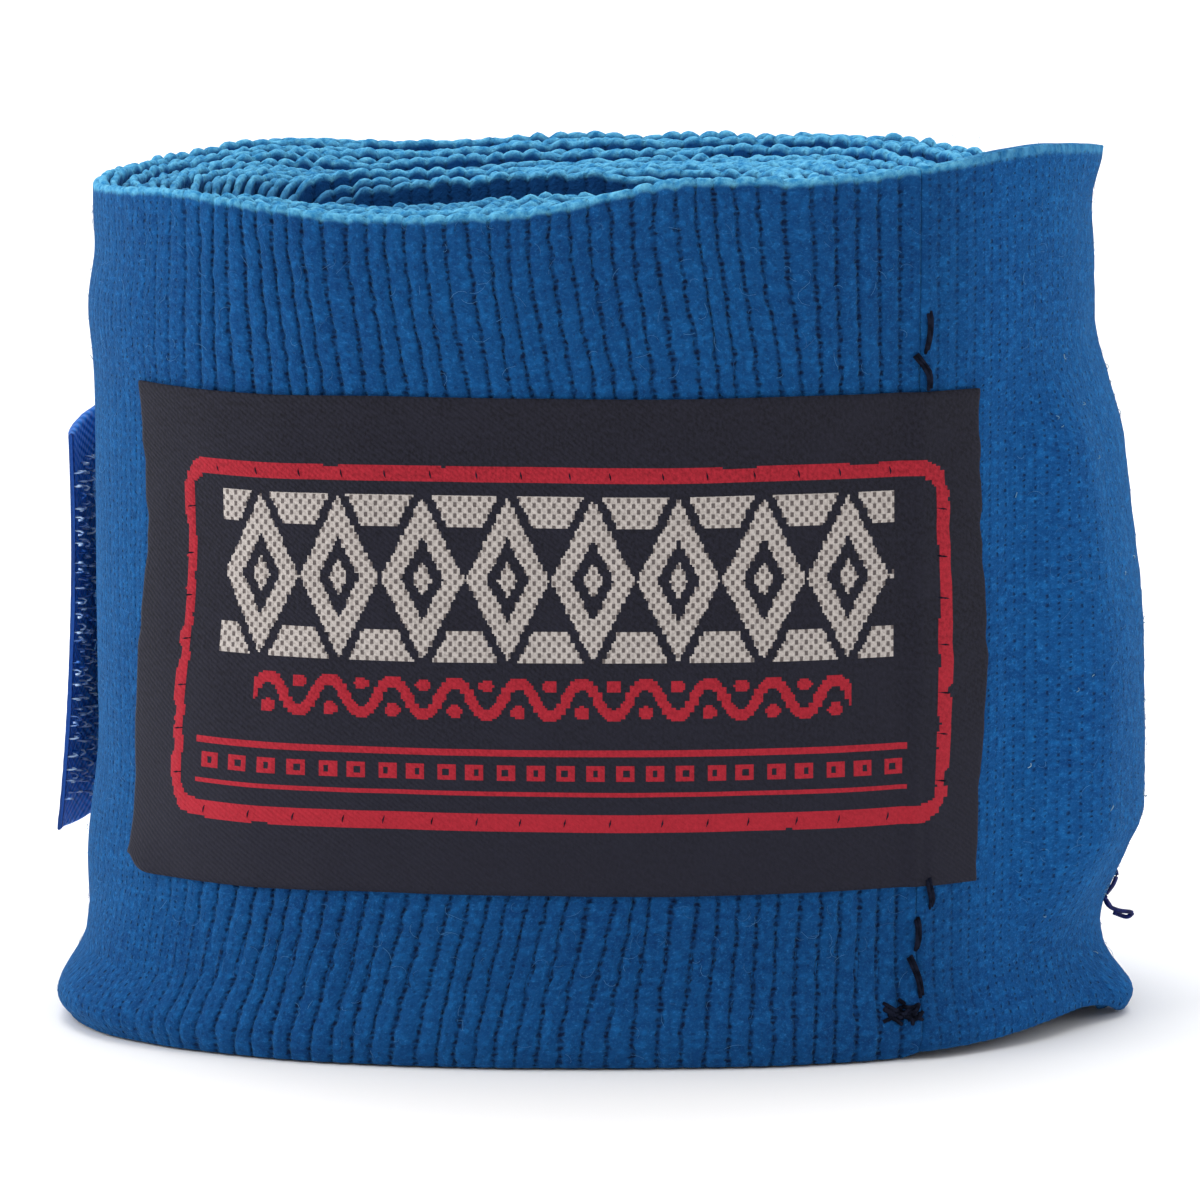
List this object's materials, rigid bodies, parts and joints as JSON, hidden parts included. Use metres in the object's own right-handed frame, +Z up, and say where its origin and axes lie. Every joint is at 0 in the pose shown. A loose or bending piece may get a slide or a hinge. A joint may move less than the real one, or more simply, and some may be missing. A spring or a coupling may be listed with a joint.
{
  "type": "boxing hand wrap",
  "caption": "Ribbed elastic cotton hand wrap wound into an oval roll standing on edge, with a woven label on the front and a hook tape closure that peels open from the back.",
  "frame": {"origin": "middle of the bounding box on the plane that the roll stands on", "axes": "+X to the right along the roll's long side, +Y from the label side towards the back, +Z up along the cloth's width"},
  "size_m": [0.065, 0.041, 0.0521],
  "materials": {
    "cotton_cloth": "ribbed elastic cotton, matt, slightly fuzzy",
    "label_satin": "black damask satin with a woven red and cream pattern",
    "hook_tape": "woven nylon ground, slight sheen",
    "hook_filament": "clear-dyed nylon monofilament hooks, glittering",
    "loop_pile": "brushed nylon loop pile",
    "black_thread": "polyester sewing thread",
    "navy_thread": "polyester sewing thread"
  },
  "bodies": {
    "roll": {"wrap_strip": "cotton_cloth", "thumb_loop": "cotton_cloth", "thumb_loop_stitching": "navy_thread", "label": "label_satin", "label_stitching": "black_thread", "end_seam_stitching": "black_thread", "loop_patch": "hook_tape", "loop_pile": "loop_pile", "loop_patch_stitching": "navy_thread"},
    "end_flap": {"end_hem": "cotton_cloth", "hook_tape_root": "hook_tape", "hooks_root": "hook_filament", "hook_tape_stitching": "navy_thread", "loose_thread_end": "navy_thread"},
    "hook_strap": {"hook_tape_back": "hook_tape", "hooks_back": "hook_filament"},
    "strap_tip": {"hook_tape_tip": "hook_tape", "hooks_tip": "hook_filament"}
  },
  "joints": [
    {"name": "flap_opening", "type": "hinge", "parent": "roll", "child": "end_flap", "pos_m": [0.02331, -0.01385, 0.025], "axis": [0, 0, -1], "range_deg": [0, 110]},
    {"name": "strap_peeling", "type": "hinge", "parent": "end_flap", "child": "hook_strap", "pos_m": [0.01948, 0.01709, 0.025], "axis": [0, 0, -1], "range_deg": [0, 110]},
    {"name": "tip_peeling", "type": "hinge", "parent": "hook_strap", "child": "strap_tip", "pos_m": [-0.02714, 0.01283, 0.025], "axis": [0, 0, -1], "range_deg": [0, 110]}
  ]
}
